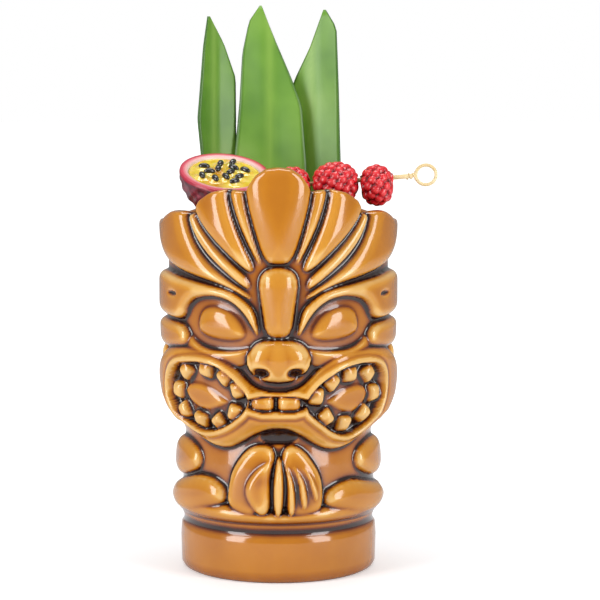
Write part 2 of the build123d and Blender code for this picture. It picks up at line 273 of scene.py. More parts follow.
NOSE = [
    (-15.1, 92.9), (-10.9, 97), (-4.3, 98.2), (4.3, 98.2), (10.9, 97), (15.6, 93.5), (16, 88.4),
    (12.8, 84.3), (7.2, 81.8), (0, 80.9), (-7.2, 81.8), (-12.8, 84.3), (-15.8, 88.4),
]
LIPS = [
    (0, 76.6), (11, 79), (16.5, 83), (22.5, 88), (30, 91.9), (43, 93.2), (62, 93.6), (77, 89.8),
    (86, 84), (88, 76), (77, 65), (56, 56.6), (42, 53.2), (30, 52.8), (21, 55.6), (13, 59.4),
    (5, 62.3), (0, 62.6), (-5, 62.3), (-13, 60), (-21, 56.5), (-30, 53.4), (-42, 54), (-56, 57.6),
    (-77, 66), (-88, 77), (-86, 84.6), (-77, 90), (-62, 93.8), (-43, 93.2), (-30, 91.7),
    (-22.5, 87.6), (-16.5, 82.4), (-11, 78.8),
]
MOUTH_CORNERS = [
    [(-66, 81), (-58, 86.6), (-40, 88.6), (-28, 86.4), (-20, 80.6), (-14.5, 76), (-15.5, 69.6),
     (-28, 62.2), (-43, 59.2), (-58, 63.6), (-67, 70.9)],
    [(13.4, 75), (22.4, 82.3), (35, 87.3), (51, 87.6), (60.5, 84), (62, 76.4), (58, 66),
     (45, 58), (32, 58.8), (19.5, 65.5), (13.7, 69.7)],
]
TONGUE = [
    [(-64, 76), (-56, 83), (-40, 84), (-26, 78), (-17, 72.6), (-28, 66), (-43, 63), (-58, 68)],
    [(60, 76), (52, 83), (36, 83), (24, 78), (17, 72.6), (28, 65), (44, 62), (56, 68)],
]
MOUTH_BAR = [(-16, 76.2), (16, 76), (16, 69.4), (-16, 69.4)]
CORNER_TEETH = [
    (-53, 83.6), (-38.6, 85.3), (-27.6, 83), (-20.4, 78.2), (-60.6, 75.2), (-56.7, 67.3),
    (-44.5, 64.4), (-32.5, 64.2), (-22.4, 68.6), (19.2, 75.6), (27.4, 80.9), (38.2, 83.4),
    (51, 82.8), (56.4, 74.4), (49.4, 66.6), (37, 63.2), (25, 66.4),
]
FRONT_TEETH = [(-8, 72.8, 5.0), (5.4, 72.8, 5.0)]
BODY_LOBES = [
    # Upper arms, forearms and the palms' halves, each side.
    ([(-90, 54), (-71, 55), (-54, 52), (-50, 47), (-54, 42.5), (-76, 38), (-92, 40)], 3.4, 5),
    ([(90, 54), (73, 55), (54, 52), (50, 47), (54, 42.5), (76, 38), (92, 40)], 3.4, 5),
    ([(-88, 35), (-74, 38), (-46, 42.7), (-31, 38.4), (-30.5, 31), (-51, 26.4), (-74, 25),
      (-90, 27)], 4.4, 6),
    ([(88, 35), (64, 37.6), (44, 40.9), (26, 36.6), (26.6, 29.8), (45, 26.2), (70, 25),
      (90, 27)], 4.4, 6),
    ([(-1, 53.4), (-8, 56), (-18, 54.6), (-27.5, 45.8), (-29.8, 38.2), (-30.3, 31), (-20, 27),
      (-10.9, 27.4), (-3, 38)], 3.6, 4),
    ([(1.5, 53.4), (8, 56), (16, 53), (25, 43.5), (26.4, 36), (25, 29), (15, 27), (4, 27.4),
      (0, 38)], 3.6, 4),
    ([(-2.4, 51.6), (-12, 48.4), (-19.4, 41), (-19, 34), (-10.9, 27), (-4, 29), (-3.6, 42)], 5.4, 4),
    # Fingers of the right hand fan out over it.
    ([(0.4, 53), (-3.2, 44), (-3, 30), (0, 26.6), (3, 31), (3.6, 44)], 6.2, 2.2),
    ([(1.6, 53), (4.2, 44), (4.2, 30), (7, 27), (9.8, 30.4), (9, 42)], 5.8, 2.2),
    ([(2.4, 52.6), (9.4, 45), (11, 32), (14.4, 29), (16.8, 33.5), (14, 44)], 5.4, 2.2),
    ([(3.6, 52.4), (14, 46), (17.6, 35), (21, 31.6), (23.4, 36), (18.6, 45), (9.5, 50.6)], 5.0, 2.4),
    # Hips, and the loin band under them.
    ([(-97, 36), (-60, 34), (-30, 31), (0, 28.6), (30, 31), (60, 34), (97, 36), (99, 25.4),
      (0, 24.8), (-99, 25.4)], 3.2, 5),
    ([(-180, 27.6), (180, 27.6), (180, 24.2), (-180, 24.2)], 1.0, 1.6),
]


def core_at(level):
    """The mug's radius under its carving, at a height."""
    heights, cores = np.array(CORE_BY_HEIGHT, float).T
    return np.interp(level, heights, cores)


def on_side(side, outline):
    """An outline as it is on the right, or mirrored to the left where side is -1."""
    return [(side * angle, height) for angle, height in outline]


def rounded(outline, times=2):
    """An outline with its corners cut, as points across and up in mm."""
    points = np.array(outline, float)
    for _ in range(times):
        after = np.roll(points, -1, axis=0)
        points = np.stack([points * 0.75 + after * 0.25, points * 0.25 + after * 0.75], 1)
        points = points.reshape(-1, 2)
    return points * (MM_PER_DEGREE, 1)


MM_PER_DEGREE = math.radians(46)      # at the carving's middle radius, 46 mm
FINE = 0.45                           # mm between the carving's sampled points


class Carving:
    """The relief's height over the mug's core, on a sheet of angle by height."""

    def __init__(self):
        self.angles = np.arange(-186, 186.01, FINE / MM_PER_DEGREE)
        self.heights = np.arange(20, 174, FINE)
        self.across, self.up = np.meshgrid(self.angles * MM_PER_DEGREE, self.heights)
        self.relief = np.zeros_like(self.across)

    def inside(self, outline, times=2):
        """How deep each point lies inside an outline, in mm; negative outside."""
        points = rounded(outline, times)
        low, high = points.min(0) - 4, points.max(0) + 4
        near = ((self.across > low[0]) & (self.across < high[0])
                & (self.up > low[1]) & (self.up < high[1]))
        x, y = self.across[near], self.up[near]
        nearest = np.full(x.shape, 1e9)
        within = np.zeros(x.shape, bool)
        for (x0, y0), (x1, y1) in zip(points, np.roll(points, -1, axis=0)):
            dx, dy = x1 - x0, y1 - y0
            along = np.clip(((x - x0) * dx + (y - y0) * dy) / (dx * dx + dy * dy + 1e-9), 0, 1)
            nearest = np.minimum(nearest, np.hypot(x - x0 - along * dx, y - y0 - along * dy))
            crosses = (y0 > y) != (y1 > y)
            within ^= crosses & (x < x0 + dx * (y - y0) / (dy if abs(dy) > 1e-9 else 1e-9))
        depth = np.full(self.across.shape, -9.0)
        depth[near] = np.where(within, nearest, -nearest)
        return depth

    def pillow(self, outline, height, shoulder):
        """A lobe that rises over its shoulder to its full height."""
        part = np.clip(self.inside(outline) / shoulder, 0, 1)
        return height * np.sqrt(1 - (1 - part) ** 2)

    def add_lobe(self, outline, height, shoulder):
        """Raises a lobe out of the relief."""
        self.relief = np.maximum(self.relief, self.pillow(outline, height, shoulder))

    def bump_at(self, angle, height, wide, tall, rise_by):
        """A soft oval bump."""
        across = (self.across - angle * MM_PER_DEGREE) / wide
        reach = across ** 2 + ((self.up - height) / tall) ** 2
        return rise_by * np.sqrt(np.clip(1 - reach, 0, 1))

    def make(self):
        """Lays every lobe, hollow and tooth of the face, the arms and the hands."""
        for outline, height, shoulder in PAIRED_LOBES + BACK_LOBES:
            for side in (-1, 1):
                self.add_lobe(on_side(side, outline), height, shoulder)
        for outline, height, shoulder in BODY_LOBES:
            self.add_lobe(outline, height, shoulder)
        for side in (-1, 1):
            socket = self.inside(on_side(side, EYE_SOCKET))
            self.relief -= rise(socket, -0.4, 2.2) * (self.relief + 2.0)
            eye = self.pillow(on_side(side, EYE), 4.6, 6)
            self.relief = np.maximum(self.relief, eye - 2.4 * (eye > 0))
        # Cheeks swell between the eyes and the lips.
        for side in (-1, 1):
            cheek = self.bump_at(side * 36, 92, 19, 7, 2.6)
            outside = rise(-self.inside(on_side(side, EYE_SOCKET)), -0.2, 1.6)
            self.relief = np.maximum(self.relief, cheek * outside)
        lips = self.inside(LIPS)
        lip = 5.0 * np.sqrt(1 - (1 - np.clip(lips / 6.0, 0, 1)) ** 2)
        self.relief = np.maximum(self.relief, lip)
        opening = np.full(self.relief.shape, -9.0)
        for corner in MOUTH_CORNERS:
            opening = np.maximum(opening, self.inside(corner))
        bar = self.inside(MOUTH_BAR, 1)
        opening = np.maximum(opening, bar)
        bead = 0.45 * np.clip(1 - (opening / 1.1 + 1) ** 2, 0, 1)
        self.relief = self.relief + bead - 0.5 * np.exp(-((opening + 3.0) / 0.7) ** 2) * (lips > 1)
        floor = -0.6             # of the mouth, under the mug's core
        hollow = rise(opening, -0.3, 1.1)
        self.relief = self.relief * (1 - hollow) + floor * hollow
        tongue = np.maximum(*(self.inside(outline) for outline in TONGUE))
        self.relief = np.where(opening > 0, np.maximum(
            self.relief, 1.6 * rise(tongue, 3.4, 6.4) + floor), self.relief)
        for angle, height in CORNER_TEETH:
            middle, level = (-41.5 if angle < 0 else 38.0), 73.6
            turn = math.atan2(height - level, (angle - middle) * MM_PER_DEGREE)
            self.relief = np.maximum(self.relief, self.tooth(angle, height, turn, 3.8, 3.6, 3.8))
        for angle, height, wide in FRONT_TEETH:
            self.relief = np.maximum(self.relief, self.tooth(angle, height, 0, wide, 3.4, 4.2))
        bridge = self.pillow(BRIDGE, 5.2, 8)
        self.relief = np.maximum(self.relief, bridge)
        nose = self.pillow(NOSE, 6.6, 7)
        for side in (-1, 1):
            nose = np.maximum(nose, self.bump_at(side * 10.4, 89, 5.4, 5.6, 5.2) * (nose > 0))
        nose = np.maximum(nose, self.bump_at(0, 90, 8.5, 8.5, 7.3) * (nose > 0))
        self.relief = np.where(nose > 0.6, np.maximum(nose, self.relief * (nose < 3)), self.relief)
        for side in (-1, 1):
            self.relief -= self.bump_at(side * 8.2, 85, 3.5, 2.5, 4.2)
        # Chin hollow over the hands.
        self.relief -= self.bump_at(0.5, 58.6, 9, 3.4, 2.0) * (lips < 0)
        # A short groove in each temple.
        for side in (-1, 1):
            self.relief -= self.bump_at(side * 62, 113.6, 3.6, 1.0, 1.3)
        fade = rise(self.up, 22.6, 25)
        self.relief = blurred(self.relief, 0.35) * fade
        wide = blurred(self.relief, 2.6)
        close = blurred(self.relief, 1.0)
        # Darker where the relief lies under its blurred self and lighter where it stands over it:
        # partly the glaze pooling and thinning, partly painted shade in the hollows and a painted
        # highlight on the ridges.
        pool = 0.38 + (wide - self.relief) * 0.36 + (close - self.relief) * 0.75
        # Painted shadow darkens the glaze under the chin, and it is darker still between the palms
        # and beside the bridge.
        for across, up, reach, more in ((0, 57.4, 7, 0.36), (-6, 42, 5, 0.22), (0, 100, 8, 0.12)):
            pool += more * np.exp(-((self.across - across) / reach) ** 2
                                  - ((self.up - up) / reach / 0.6) ** 2)
        self.pool = np.clip(pool, 0, 1)

    def tooth(self, angle, height, turn, wide, tall, rise_by):
        """A rounded block, its width turned across a line from the mouth's middle."""
        x, y = self.across - angle * MM_PER_DEGREE, self.up - height
        out = (x * math.cos(turn) + y * math.sin(turn)) / tall
        over = (y * math.cos(turn) - x * math.sin(turn)) / wide
        if turn == 0:
            out, over = y / tall, x / wide
        reach = (out ** 4 + over ** 4) ** 0.25
        return -1.2 + (rise_by + 1.2) * np.sqrt(np.clip(1 - reach ** 3, 0, 1))

    def at(self, sheet, angles, heights):
        """A sheet's values at angles and heights, blended between its points."""
        column = np.clip((angles - self.angles[0]) / (self.angles[1] - self.angles[0]),
                         0, len(self.angles) - 1.001)
        row = np.clip((heights - self.heights[0]) / FINE, 0, len(self.heights) - 1.001)
        c, r = column.astype(int), row.astype(int)
        x, y = column - c, row - r
        return ((sheet[r, c] * (1 - x) + sheet[r, c + 1] * x) * (1 - y)
                + (sheet[r + 1, c] * (1 - x) + sheet[r + 1, c + 1] * x) * y)


def blurred(sheet, radius):
    """A sheet smoothed over a radius in mm, both ways."""
    reach = int(math.ceil(3 * radius / FINE))
    steps = np.arange(-reach, reach + 1) * FINE
    weights = np.exp(-(steps / radius) ** 2)
    weights /= weights.sum()
    for axis in (0, 1):
        sheet = np.apply_along_axis(
            lambda line: np.convolve(np.pad(line, reach, mode="edge"), weights, "valid"),
            axis, sheet)
    return sheet


# ---- Materials ----


def glaze_material(sizes):
    """Glossy honey glaze that pools brown in the carving, with painted shade darkening it there, and
    thins to cream on its edges, partly a painted highlight.
    """
    material, tree, shader = new_material("honey_glaze")
    pool = attribute(tree, "glaze_pool_and_shade")
    drift = maths(tree, "MULTIPLY_ADD", noise(tree, 55, 4), 0.16, -0.08)
    depth = maths(tree, "ADD", pool, drift)
    # The ramp's dark end is partly pooled glaze and partly painted shade in the grooves; its cream
    # end is partly thin glaze and partly a painted highlight on the edges.
    colour = ramp(tree, depth, [
        (0.0, (230, 182, 104)), (0.12, (210, 144, 44)), (0.34, tuple(sizes.glaze_light)),
        (0.48, tuple(sizes.glaze_middle)), (0.62, (104, 42, 4)), (0.8, tuple(sizes.glaze_deep_and_shade)),
    ])
    tree.links.new(colour, shader.inputs["Base Color"])
    set_inputs(shader, Roughness=0.16, Coat_Weight=0.6, Coat_Roughness=0.03,
               Specular_IOR_Level=0.5)
    bump(tree, shader, noise(tree, 140, 2), 0.0002, 0.25)
    return material


def leaf_material():
    """Green leaf with fine veins along it, a paler fold and darker edges."""
    material, tree, shader = new_material("pineapple_leaf")
    veins = noise(tree, 3, 5, (13, 0.7, 1), "UV")
    blotch = noise(tree, 26, 3)
    shade = maths(tree, "MULTIPLY_ADD", veins, 0.7, maths(tree, "MULTIPLY", blotch, 0.45))
    green = ramp(tree, shade, [
        (0.36, (22, 62, 6)), (0.5, (62, 116, 20)), (0.6, (104, 152, 42)), (0.74, (150, 190, 84)),
    ])
    edge = attribute(tree, "edge")
    colour = mix(tree, edge, green, (40, 84, 16))
    pale = attribute(tree, "fold")
    colour = mix(tree, maths(tree, "MULTIPLY", pale, 0.45), colour, (150, 186, 84))
    tree.links.new(colour, shader.inputs["Base Color"])
    set_inputs(shader, Roughness=0.42, Coat_Weight=0.15, Coat_Roughness=0.3)
    bump(tree, shader, veins, 0.0008, 0.7)
    return material


def bamboo_material():
    """Dry pale bamboo with fibres along it and browned ends of the fibres."""
    material, tree, shader = new_material("bamboo")
    fibres = noise(tree, 260, 3, (0.08, 1, 1))
    colour = ramp(tree, fibres, [
        (0.25, (196, 158, 96)), (0.5, (232, 208, 156)), (0.75, (246, 230, 190)),
    ])
    tree.links.new(colour, shader.inputs["Base Color"])
    set_inputs(shader, Roughness=0.55)
    bump(tree, shader, fibres, 0.0002, 0.5)
    return material


def rind_material():
    """Maroon skin outside, a rosy cut edge, and white pith inside."""
    material, tree, shader = new_material("passion_rind")
    place = attribute(tree, "through_rind")
    speckle = noise(tree, 420, 2)
    skin = ramp(tree, speckle, [(0.35, (72, 14, 30)), (0.6, (120, 26, 48)), (0.75, (150, 60, 74))])
    flesh = ramp(tree, place, [
        (0.0, (150, 20, 44)), (0.35, (214, 62, 86)), (0.7, (240, 176, 176)), (1.0, (246, 232, 226)),
    ])
    colour = mix(tree, maths(tree, "GREATER_THAN", place, 0.02), skin, flesh)
    tree.links.new(colour, shader.inputs["Base Color"])
    set_inputs(shader, Roughness=0.38, Coat_Weight=0.2)
    bump(tree, shader, noise(tree, 300, 3), 0.0004, 0.35)
    return material


def wet_material(name, stops, scale, roughness, subsurface=0.0):
    """Wet fruit: a mottled colour under a clear coat."""
    material, tree, shader = new_material(name)
    colour = ramp(tree, noise(tree, scale, 3), stops)
    tree.links.new(colour, shader.inputs["Base Color"])
    set_inputs(shader, Roughness=roughness, Coat_Weight=0.7, Coat_Roughness=0.08)
    if subsurface:
        set_inputs(shader, Subsurface_Weight=subsurface, Subsurface_Scale=0.002)
    bump(tree, shader, noise(tree, scale * 2, 2), 0.0003, 0.3)
    return material


def raspberry_material():
    """Red drupelets, darkened between them with painted shade, with a soft shine."""
    material, tree, shader = new_material("raspberry")
    crown = attribute(tree, "crown")
    # The crown attribute paints shade: the red darkens in the gaps between drupelets and brightens on
    # their crowns.
    shade = maths(tree, "MULTIPLY_ADD", noise(tree, 160, 2), 0.3,
                  maths(tree, "MULTIPLY", crown, 0.75))
    colour = ramp(tree, shade, [
        (0.1, (96, 0, 12)), (0.4, (176, 4, 24)), (0.7, (214, 20, 36)), (0.95, (236, 62, 66)),
    ])
    tree.links.new(colour, shader.inputs["Base Color"])
    set_inputs(shader, Roughness=0.34, Subsurface_Weight=0.15, Subsurface_Scale=0.0015,
               Coat_Weight=0.45, Coat_Roughness=0.15)
    return material


# ---- Settings ----


class TikiMugSettings(bpy.types.PropertyGroup):
    """Sizes and colours of the glazed mug."""

    wall: FloatProperty(
        name="Wall", description="Thickness of the fired wall", default=0.0042, unit="LENGTH")
    columns: IntProperty(
        name="Columns", description="Columns of faces round the mug", default=330, min=60)
    row_height: FloatProperty(
        name="Row Height", description="Height of the carved rows of faces", default=0.00062,
        unit="LENGTH")
    glaze_light: FloatVectorProperty(
        name="Light Glaze", description="Glaze on high surfaces, 0 to 255",
        default=(190, 118, 16), min=0, max=255)
    glaze_middle: FloatVectorProperty(
        name="Middle Glaze", description="Glaze on plain surfaces, 0 to 255",
        default=(162, 90, 8), min=0, max=255)
    # The deep colour is partly glaze pooled in the grooves and partly painted shade there.
    glaze_deep_and_shade: FloatVectorProperty(
        name="Deep Glaze", description="Glaze pooled in grooves, 0 to 255",
        default=(34, 8, 3), min=0, max=255)


class LeafSettings(bpy.types.PropertyGroup):
    """Sizes of the pineapple leaves."""

    thickness: FloatProperty(
        name="Thickness", description="Thickness at the middle of a leaf", default=0.0013,
        unit="LENGTH")
    ripple: FloatProperty(
        name="Ripple", description="How far a leaf's surface waves", default=0.0003,
        unit="LENGTH")


class GarnishSettings(bpy.types.PropertyGroup):
    """Sizes of the fruit and the pick."""

    pick_diameter: FloatProperty(
        name="Pick Diameter", description="Thickness of the bamboo", default=0.0018,
        unit="LENGTH")
    knot_length: FloatProperty(
        name="Knot Length", description="Length of the knot's loop", default=0.0106,
        unit="LENGTH")
    passion_diameter: FloatProperty(
        name="Passion Fruit", description="Diameter of the halved fruit", default=0.0364,
        unit="LENGTH")
    rind_thickness: FloatProperty(
        name="Rind", description="Skin and pith together", default=0.0036, unit="LENGTH")
    drupelet: FloatProperty(
        name="Drupelet", description="Radius of a raspberry's drupelets", default=0.0021,
        unit="LENGTH")


class StageSettings(bpy.types.PropertyGroup):
    """Camera and lights."""

    distance: FloatProperty(
        name="Camera Distance", description="From the mug's axis", default=1.1, unit="LENGTH")
    lens: FloatProperty(name="Lens", description="Focal length in mm", default=165.2)
    side_power: FloatProperty(
        name="Side Lights", description="Power of each side softbox in watts", default=5.0)
    ambient: FloatProperty(
        name="Ambient", description="Strength of the light from all round", default=0.26)


# ---- Operators ----


class TIKI_OT_stage(bpy.types.Operator):
    """Adds the floor, the lights, the white surroundings and the camera"""

    bl_idname = "tiki.stage"
    bl_label = "Stage"

    def execute(self, context):
        settings = context.scene.tiki_stage
        scene = context.scene
        scene.view_settings.view_transform = "Standard"
        self.add_floor(scene)
        self.add_world(scene, settings)
        for side, power in ((-1, settings.side_power), (1, settings.side_power * 0.9)):
            self.add_softbox(scene, f"softbox_{side}", (side * 0.62, -0.5, 0.34), (0.34, 0.7), power)
        self.add_softbox(
            scene, "softbox_top", (0, 0.1, 0.85), (0.5, 0.3), settings.side_power * 0.55)
        camera = bpy.data.objects.new("camera", bpy.data.cameras.new("camera"))
        scene.collection.objects.link(camera)
        camera.location = (0, -settings.distance, 0.245)
        camera.rotation_euler = (math.radians(90 - 7.25), 0, 0)
        camera.data.lens = settings.lens
        camera.data.shift_x, camera.data.shift_y = 0.036, 0.012
        camera.data.clip_start = 0.01
        scene.camera = camera
        return {"FINISHED"}

    def add_floor(self, scene):
        """A pale floor that looks white and keeps the object's shadow."""
        bm = bmesh.new()
        bmesh.ops.create_grid(bm, x_segments=1, y_segments=1, size=3)
        mesh = bpy.data.meshes.new("floor")
        bm.to_mesh(mesh)
        bm.free()
        floor = bpy.data.objects.new("floor", mesh)
        scene.collection.objects.link(floor)
        material, tree, shader = new_material("pale_floor")
        set_inputs(shader, Base_Color=(0.85, 0.86, 0.88, 1), Roughness=0.8,
                   Specular_IOR_Level=0.1, Emission_Color=(1, 1, 1, 1))
        path = node(tree, "ShaderNodeLightPath")
        place = node(tree, "ShaderNodeTexCoord")
        away = node(tree, "ShaderNodeVectorMath", operation="LENGTH")
        tree.links.new(place.outputs["Object"], away.inputs[0])
        far = node(tree, "ShaderNodeMapRange", in_From_Min=0.08, in_From_Max=0.5,
                   in_To_Min=0.36, in_To_Max=1.0)
        tree.links.new(away.outputs["Value"], far.inputs["Value"])
        tree.links.new(
            maths(tree, "MULTIPLY", path.outputs["Is Camera Ray"], far.outputs["Result"]),
            shader.inputs["Emission Strength"])
        mesh.materials.append(material)

    def add_world(self, scene, settings):
        """White where it is seen or reflected, and a plain soft light elsewhere."""
        world = bpy.data.worlds.new("studio")
        scene.world = world
        world.use_nodes = True
        tree = world.node_tree
        path = node(tree, "ShaderNodeLightPath")
        seen = maths(tree, "MAXIMUM", path.outputs["Is Camera Ray"],
                     path.outputs["Is Transmission Ray"])
        seen = maths(tree, "MAXIMUM", seen, maths(
            tree, "MULTIPLY", path.outputs["Is Glossy Ray"], 0.34))
        strength = maths(tree, "MAXIMUM", seen, settings.ambient)
        background = tree.nodes["Background"]
        background.inputs["Color"].default_value = (1, 1, 1, 1)
        tree.links.new(strength, background.inputs["Strength"])

    def add_softbox(self, scene, name, place, size, power):
        """A rectangular lamp that faces the mug's middle."""
        lamp = bpy.data.lights.new(name, "AREA")
        lamp.shape = "RECTANGLE"
        lamp.size, lamp.size_y = size
        lamp.energy = power
        softbox = bpy.data.objects.new(name, lamp)
        scene.collection.objects.link(softbox)
        softbox.location = place
        aim = Vector((0, 0, 0.1)) - Vector(place)
        softbox.rotation_euler = aim.to_track_quat("-Z", "Y").to_euler()


class TIKI_OT_mug(bpy.types.Operator):
    """Adds the glazed mug with its carved face"""

    bl_idname = "tiki.mug"
    bl_label = "Mug"

    def execute(self, context):
        settings = context.scene.tiki_mug
        top = MUG_HIGH.z / MM
        wall = settings.wall / MM
        bm = spun(self.profile(top, wall, settings.row_height / MM), settings.columns)
        places = positions(bm)
        carving = Carving()
        carving.make()
        radius = np.hypot(places[:, 0], places[:, 1])
        turn = np.degrees(np.arctan2(places[:, 0], -places[:, 1]))
        turn = self.crowded(turn)
        level = places[:, 2]
        # The rim follows the feathers: rows over the brow are stretched to it.
        angles, rims = np.array(RIM_BY_ANGLE, float).T
        rim = np.interp(np.abs(turn), angles, rims)
        edge, start = 4.0, 118.0
        part = np.clip((level - start) / (top - edge - start), 0, None)
        stretched = start + part * (rim - edge - start)
        raised = np.where(level > top - edge, level - top + rim, stretched)
        level = np.where(level > start, raised, level)
        core = core_at(level)
        outer = rise(radius - self.inner_radius(places[:, 2], wall), wall * 0.25, wall * 0.9)
        outer = outer * (places[:, 2] > 3)
        relief = carving.at(carving.relief, turn, level)
        moved = np.where(outer > 0.5, radius - core_at(places[:, 2]) + core, radius)
        near_rim = rise(level, rim - 16, rim - 2) * (outer <= 0.5) * (radius > 20)
        radius = moved + relief * outer + 0.35 * np.minimum(relief, 2) * near_rim * (1 - outer)
        side = np.radians(turn)
        out = np.stack([radius * np.sin(side), -radius * np.cos(side), level], 1)
        out[:, 0] = np.clip(out[:, 0], MUG_LOW.x / MM, MUG_HIGH.x / MM)
        out[:, 1] = np.clip(out[:, 1], MUG_LOW.y / MM, MUG_HIGH.y / MM)
        pool = carving.at(carving.pool, turn, level)
        # The foot band darkens in the groove over the foot and at its lowest edge, partly pooled
        # glaze and partly painted shade, as in the carving.
        base = 0.36 + 0.5 * np.exp(-((level - 20.6) / 1.5) ** 2) + 0.3 * np.exp(-(level / 2.2) ** 2)
        pool = np.where(level < 23.5, base, pool)
        pool = pool * outer + 0.46 * (1 - outer)
        move_to(bm, out)
        write_attribute(bm, "glaze_pool_and_shade", pool)
        bmesh.ops.recalc_face_normals(bm, faces=bm.faces)
        finish_piece(bm, "glazed_mug", "mug", glaze_material(settings), "mug_body")
        return {"FINISHED"}

    def crowded(self, turn):
        """Moves the columns together at the front, where the face is."""
        front = 100.0            # degrees each side that hold most of the columns
        share = 0.76
        size = np.abs(turn) / 180
        spread = np.where(size < share, size / share * front,
                          front + (size - share) / (1 - share) * (180 - front))
        return np.sign(turn) * spread

    def inner_radius(self, level, wall):
        """The cup's radius at a height."""
        return np.minimum(core_at(np.maximum(level, 23)), 44) - wall

    def profile(self, top, wall, row):
        """Foot, outer wall, rounded rim, inner wall and floor, from axis to axis."""
        foot_recess, foot_radius, floor = 1.5, 31.0, 6.5
        points = [(0, foot_recess), (foot_radius * 0.6, foot_recess), (foot_radius, foot_recess),
                  (foot_radius + 0.8, 0.3), (foot_radius + 1.6, 0)]
        low = [0, 0.3, 0.8, 1.6, 2.5, 5, 9, 13, 16, 18, 18.8, 19.5, 20.4, 21.3, 22, 23]
        levels = low + list(np.arange(23.6, top - wall / 2, row))
        points += [(float(core_at(z)), z) for z in levels]
        middle = 44 - wall / 2
        for step in range(1, 8):
            angle = math.pi * step / 8
            points.append((middle + wall / 2 * math.cos(angle),
                           top - wall / 2 + wall / 2 * math.sin(angle)))
        inside = list(np.linspace(top - wall / 2, 120, 10)) + list(np.linspace(112, 12, 14))
        points += [(float(self.inner_radius(z, wall)), z) for z in inside]
        foot = float(self.inner_radius(12, wall))
        points += [(foot - 0.6, 9.5), (foot - 2.4, 7.4), (foot - 5.5, floor), (16, floor),
                   (0, floor)]
        return points


# Leaves: each one's section at the back rim (edge, fold, edge: across and back in mm), its length
# and its edges: (along in lengths, across in half widths).
LEAVES = {
    "left": {
        "section": [(-32.85, 20.34), (-26.43, 29.35), (-16.8, 34.8)], "length": 214.7,
        "low_edge": [(0, -0.3), (0.45, -0.9), (0.72, -0.74), (0.8, -0.95), (0.94, -0.67), (1, -0.46)],
        "high_edge": [(0, 0.4), (0.45, 1), (0.7, 0.95), (0.885, 0.9), (0.95, 0.3), (1, -0.4)],
    },
    "centre": {
        "section": [(-18.6, 31.6), (-3.6, 34.8), (11.4, 31.6)], "length": 220.0,
        "low_edge": [(0, -0.5), (0.48, -1), (0.7, -0.98), (0.82, -0.82), (0.91, -0.74),
                     (0.97, -0.56), (1, -0.27)],
        "high_edge": [(0, 0.5), (0.48, 1), (0.7, 1), (0.81, 0.88), (0.865, 0.58), (0.93, 0.18),
                      (1, -0.22)],
    },
    "right": {
        "section": [(0.0, 39.48), (13.51, 37.12), (25.37, 30.25)], "length": 217.6,
        "low_edge": [(0, -0.5), (0.48, -1), (0.74, -0.98), (0.866, -0.5), (0.929, 0.02), (1, 0.46)],
        "high_edge": [(0, 0.4), (0.48, 1), (0.7, 1), (0.86, 0.92), (0.965, 0.86), (1, 0.52)],
    },
}


class TIKI_OT_leaves(bpy.types.Operator):
    """Adds the three pineapple leaves that stand in the mug"""

    bl_idname = "tiki.leaves"
    bl_label = "Leaves"

    def execute(self, context):
        settings = context.scene.tiki_leaf
        material = leaf_material()
        for number, (name, shape) in enumerate(LEAVES.items()):
            self.add_leaf(name, shape, number, settings, material)
        return {"FINISHED"}

    def add_leaf(self, name, shape, number, settings, material):
        """A grid bent into the leaf's channel, cut to its outline and given its thickness."""
        across_count, along_count = 16, 72
        bm = bmesh.new()
        bmesh.ops.create_grid(
            bm, x_segments=across_count, y_segments=along_count, size=0.5, calc_uvs=True)
        section = np.array(shape["section"], float)
        thickness = settings.thickness / MM
        along, low = np.array(shape["low_edge"]).T
        along_high, high = np.array(shape["high_edge"]).T
        fold_back = section[1][1]
        lean = math.atan2(LEAF_AXIS.y, LEAF_AXIS.z)
        back_rim = 147.0
        floor = 6.8
        lowest = section[:, 1].max() - fold_back
        below = (back_rim - floor) / math.cos(lean) - lowest * math.tan(lean) - 0.4
        middle = (section[0][0] + section[2][0]) / 2
        half = (section[2][0] - section[0][0]) / 2
        fold_at = (section[1][0] - middle) / half
        edge_values, fold_values, places = [], [], []
        for vert in bm.verts:
            side, height = vert.co.x + 0.5, vert.co.y + 0.5
            left, right = np.interp(height, along, low), np.interp(height, along_high, high)
            spot = left + (right - left) * side
            x = middle + half * spot
            y = np.interp(x, section[:, 0], section[:, 1])
            soft = 0.16
            y -= (section[1][1] - min(section[0][1], section[2][1])) * 0.10 * math.exp(
                -((spot - fold_at) / soft) ** 2)
            y -= thickness * 0.72 + settings.ripple / MM * (
                1 + math.sin(height * 23 + number * 2 + spot * 2.2)) * (0.3 + abs(spot))
            z = height * shape["length"] * 0.998 - below
            places.append((x, y - fold_back, z))
            edge_values.append(max(0, abs(side - 0.5) * 2 - 0.9) * 8)
            fold_values.append(math.exp(-((spot - fold_at) / 0.12) ** 2))
        turn = Matrix.Translation((0, fold_back, back_rim)) @ Matrix.Rotation(-lean, 4, "X")
        move_to(bm, np.array([turn @ Vector(place) for place in places]))
        write_attribute(bm, "edge", edge_values)
        write_attribute(bm, "fold", fold_values)
        bmesh.ops.recalc_face_normals(bm, faces=bm.faces)
        if sum(face.normal.y for face in bm.faces) > 0:
            bmesh.ops.reverse_faces(bm, faces=bm.faces)
        bmesh.ops.solidify(bm, geom=bm.faces, thickness=settings.thickness * 0.62)
        bmesh.ops.recalc_face_normals(bm, faces=bm.faces)
        finish_piece(bm, f"leaf_blade_{name}", f"leaf_{name}", material,
                     f"pineapple_leaf_{name}")


def along_pick(distance):
    """A matrix that lays Z along the pick, a distance in mm to the right of the mug's axis."""
    side = Vector((0, 1, 0))
    down = side.cross(PICK_AXIS).normalized()
    turned = Matrix((down, side, PICK_AXIS)).transposed().to_4x4()
    turned.translation = PICK_ORIGIN + PICK_AXIS * distance * MM
    return turned


